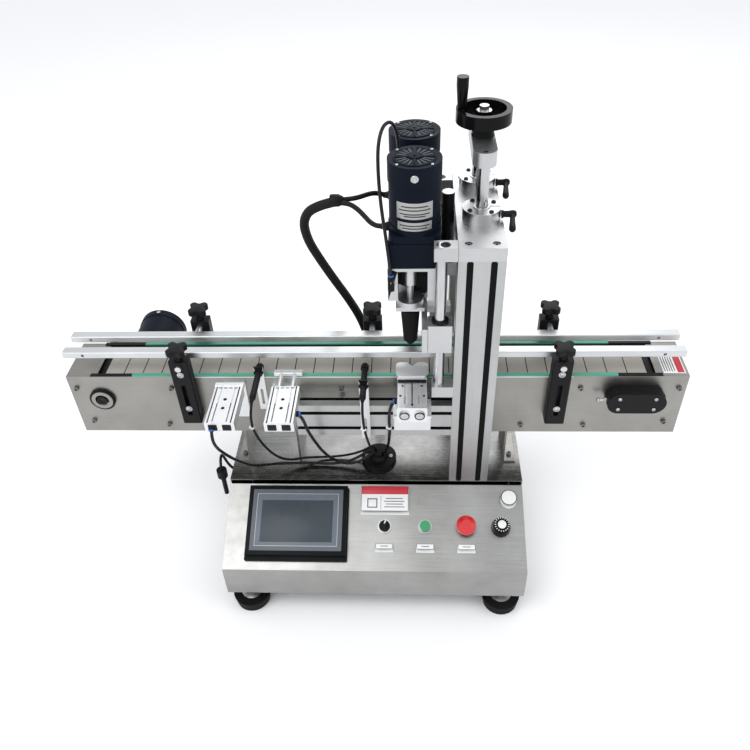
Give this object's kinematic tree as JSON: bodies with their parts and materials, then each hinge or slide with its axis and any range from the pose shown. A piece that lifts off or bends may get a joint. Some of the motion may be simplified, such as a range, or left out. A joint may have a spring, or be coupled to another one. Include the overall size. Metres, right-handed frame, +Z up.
{
  "type": "desktop capping machine",
  "caption": "Desktop bottle capping machine: slat conveyor through a portal head with two roller spindle motors, air-driven bottle stops and clamp, all standing on a sloped control console.",
  "frame": {"origin": "centre of the whole machine's footprint, on the bench under the feet", "axes": "+X along the conveyor to the operator's right, +Y from the operator to the back, +Z up"},
  "size_m": [1.22, 0.5278, 1.0062],
  "materials": {
    "console_steel": "brushed",
    "plate_steel": "brushed",
    "bright_steel": "polished",
    "anodised": "satin",
    "black_plastic": "matte",
    "black_gloss": "gloss",
    "rubber": "matte",
    "belt": "satin",
    "strip": "matte",
    "motor_paint": "satin",
    "screen": "gloss",
    "green": "gloss",
    "red": "gloss",
    "screws": "satin",
    "blue_tube": "satin"
  },
  "bodies": {
    "base": {"base_cabinet": "console_steel", "base_covers": "console_steel", "belt_chain": "belt", "clamp_tube": "blue_tube", "control_gear": "black_plastic", "conveyor_covers": "black_plastic", "conveyor_frame": "plate_steel", "conveyor_gearmotor": "motor_paint", "conveyor_supports": "plate_steel", "cord_fittings": "black_plastic", "frame_profiles": "anodised", "left_sensor_cable": "rubber", "left_stop_tube": "blue_tube", "leveling_feet": "rubber", "machine_screws": "screws", "main_hose": "black_plastic", "panel_fittings": "console_steel", "rail_brackets": "black_plastic", "right_sensor_cable": "rubber", "right_stop_tube": "blue_tube", "shaft_guides": "bright_steel", "side_lead": "rubber", "station_brackets": "anodised", "station_cylinders": "anodised", "top_plate": "anodised", "touch_screen": "screen", "wear_strips": "strip"},
    "lift": {"lift_bridge": "bright_steel", "lift_cylinder": "black_plastic", "rear_motor_lead": "rubber", "front_motor_lead": "rubber"},
    "head": {"head_carriage": "anodised", "gripper_cylinder": "anodised", "head_air_tube": "blue_tube"},
    "front_grip": {"front_spindle_motor": "motor_paint", "front_frame": "anodised"},
    "rear_grip": {"rear_spindle_motor": "motor_paint", "rear_frame": "anodised"},
    "selector_knob": {"selector_knob": "black_plastic"},
    "start_button": {"start_button": "green"},
    "stop_button": {"stop_button": "red"},
    "speed_dial": {"speed_dial": "black_plastic"},
    "drive_drum": {"drive_drum": "black_plastic"},
    "idler_drum": {"idler_drum": "black_plastic"},
    "front_rail": {"front_rail": "anodised"},
    "rear_rail": {"rear_rail": "anodised"},
    "front_star_knob_1": {"front_star_knob_1": "black_plastic"},
    "front_star_knob_2": {"front_star_knob_2": "black_plastic"},
    "rear_star_knob_1": {"rear_star_knob_1": "black_plastic"},
    "rear_star_knob_2": {"rear_star_knob_2": "black_plastic"},
    "rear_star_knob_3": {"rear_star_knob_3": "black_plastic"},
    "front_clamp_lever": {"front_clamp_lever": "black_plastic"},
    "rear_clamp_lever": {"rear_clamp_lever": "black_plastic"},
    "left_stop_bar": {"left_stop_bar": "anodised"},
    "right_stop_bar": {"right_stop_bar": "anodised"},
    "clamp_jaw": {"clamp_jaw": "anodised"},
    "handwheel": {"handwheel": "black_gloss"},
    "handwheel_grip": {"handwheel_grip": "black_gloss"},
    "front_roller": {"front_roller": "rubber"},
    "rear_roller": {"rear_roller": "rubber"}
  },
  "joints": [
    {"name": "handwheel_turn", "type": "hinge", "parent": "lift", "child": "handwheel", "pos_m": [0.2, 0.081, 0.933], "axis": [0, 0, 1], "range_deg": [-1085, 5045]},
    {"name": "grip_spin", "type": "hinge", "parent": "handwheel", "child": "handwheel_grip", "pos_m": [0.163, 0.081, 0.955], "axis": [0, 0, 1], "continuous": true},
    {"name": "height_adjust", "type": "slide", "parent": "base", "child": "lift", "axis": [0, 0, 1], "range_m": [-0.015, 0.07]},
    {"name": "head_stroke", "type": "slide", "parent": "lift", "child": "head", "axis": [0, 0, 1], "range_m": [0, 0.05]},
    {"name": "front_grip_slide", "type": "slide", "parent": "head", "child": "front_grip", "axis": [0, 1, 0], "range_m": [0, 0.007]},
    {"name": "rear_grip_slide", "type": "slide", "parent": "head", "child": "rear_grip", "axis": [0, -1, 0], "range_m": [0, 0.007]},
    {"name": "front_roller_spin", "type": "hinge", "parent": "front_grip", "child": "front_roller", "pos_m": [0.077, -0.024, 0.557], "axis": [0, 0, 1], "continuous": true},
    {"name": "rear_roller_spin", "type": "hinge", "parent": "rear_grip", "child": "rear_roller", "pos_m": [0.077, 0.05, 0.557], "axis": [0, 0, 1], "continuous": true},
    {"name": "front_lever_turn", "type": "hinge", "parent": "base", "child": "front_clamp_lever", "pos_m": [0.2334, 0.013, 0.796], "axis": [1, 0, 0], "range_deg": [-60, 60]},
    {"name": "rear_lever_turn", "type": "hinge", "parent": "base", "child": "rear_clamp_lever", "pos_m": [0.2334, 0.133, 0.796], "axis": [1, 0, 0], "range_deg": [-60, 60]},
    {"name": "drive_drum_turn", "type": "hinge", "parent": "base", "child": "drive_drum", "pos_m": [-0.549, 0.014, 0.418], "axis": [0, 1, 0], "continuous": true},
    {"name": "idler_drum_turn", "type": "hinge", "parent": "base", "child": "idler_drum", "pos_m": [0.549, 0.014, 0.418], "axis": [0, 1, 0], "continuous": true},
    {"name": "front_rail_adjust", "type": "slide", "parent": "base", "child": "front_rail", "axis": [0, 1, 0], "range_m": [-0.01, 0.01]},
    {"name": "rear_rail_adjust", "type": "slide", "parent": "base", "child": "rear_rail", "axis": [0, 1, 0], "range_m": [-0.01, 0.01]},
    {"name": "front_star_knob_1_turn", "type": "hinge", "parent": "base", "child": "front_star_knob_1", "pos_m": [-0.367, -0.052, 0.54], "axis": [0, 0, 1], "continuous": true},
    {"name": "front_star_knob_2_turn", "type": "hinge", "parent": "base", "child": "front_star_knob_2", "pos_m": [0.362, -0.052, 0.54], "axis": [0, 0, 1], "continuous": true},
    {"name": "rear_star_knob_1_turn", "type": "hinge", "parent": "base", "child": "rear_star_knob_1", "pos_m": [-0.354, 0.08, 0.54], "axis": [0, 0, 1], "continuous": true},
    {"name": "rear_star_knob_2_turn", "type": "hinge", "parent": "base", "child": "rear_star_knob_2", "pos_m": [0, 0.08, 0.54], "axis": [0, 0, 1], "continuous": true},
    {"name": "rear_star_knob_3_turn", "type": "hinge", "parent": "base", "child": "rear_star_knob_3", "pos_m": [0.354, 0.08, 0.54], "axis": [0, 0, 1], "continuous": true},
    {"name": "left_stop_stroke", "type": "slide", "parent": "base", "child": "left_stop_bar", "axis": [0, 1, 0], "range_m": [0, 0.038]},
    {"name": "right_stop_stroke", "type": "slide", "parent": "base", "child": "right_stop_bar", "axis": [0, 1, 0], "range_m": [-0.038, 0]},
    {"name": "clamp_stroke", "type": "slide", "parent": "base", "child": "clamp_jaw", "axis": [0, 1, 0], "range_m": [0, 0.012]},
    {"name": "selector_turn", "type": "hinge", "parent": "base", "child": "selector_knob", "pos_m": [0.022, -0.16654, 0.17326], "axis": [0, -0.4166, 0.9091], "range_deg": [0, 90]},
    {"name": "start_press", "type": "slide", "parent": "base", "child": "start_button", "axis": [0, 0.4166, -0.9091], "range_m": [0, 0.003], "stiffness_N_per_m": 600},
    {"name": "stop_press", "type": "slide", "parent": "base", "child": "stop_button", "axis": [0, 0.4166, -0.9091], "range_m": [0, 0.004]},
    {"name": "dial_turn", "type": "hinge", "parent": "base", "child": "speed_dial", "pos_m": [0.262, -0.16654, 0.17326], "axis": [0, -0.4166, 0.9091], "range_deg": [-135, 135]}
  ],
  "couplings": [
    {"joint": "handwheel_turn", "follows": "height_adjust", "rad_per_m": 1256.6},
    {"joint": "rear_grip_slide", "follows": "front_grip_slide", "ratio": 1},
    {"joint": "idler_drum_turn", "follows": "drive_drum_turn", "ratio": 1}
  ]
}
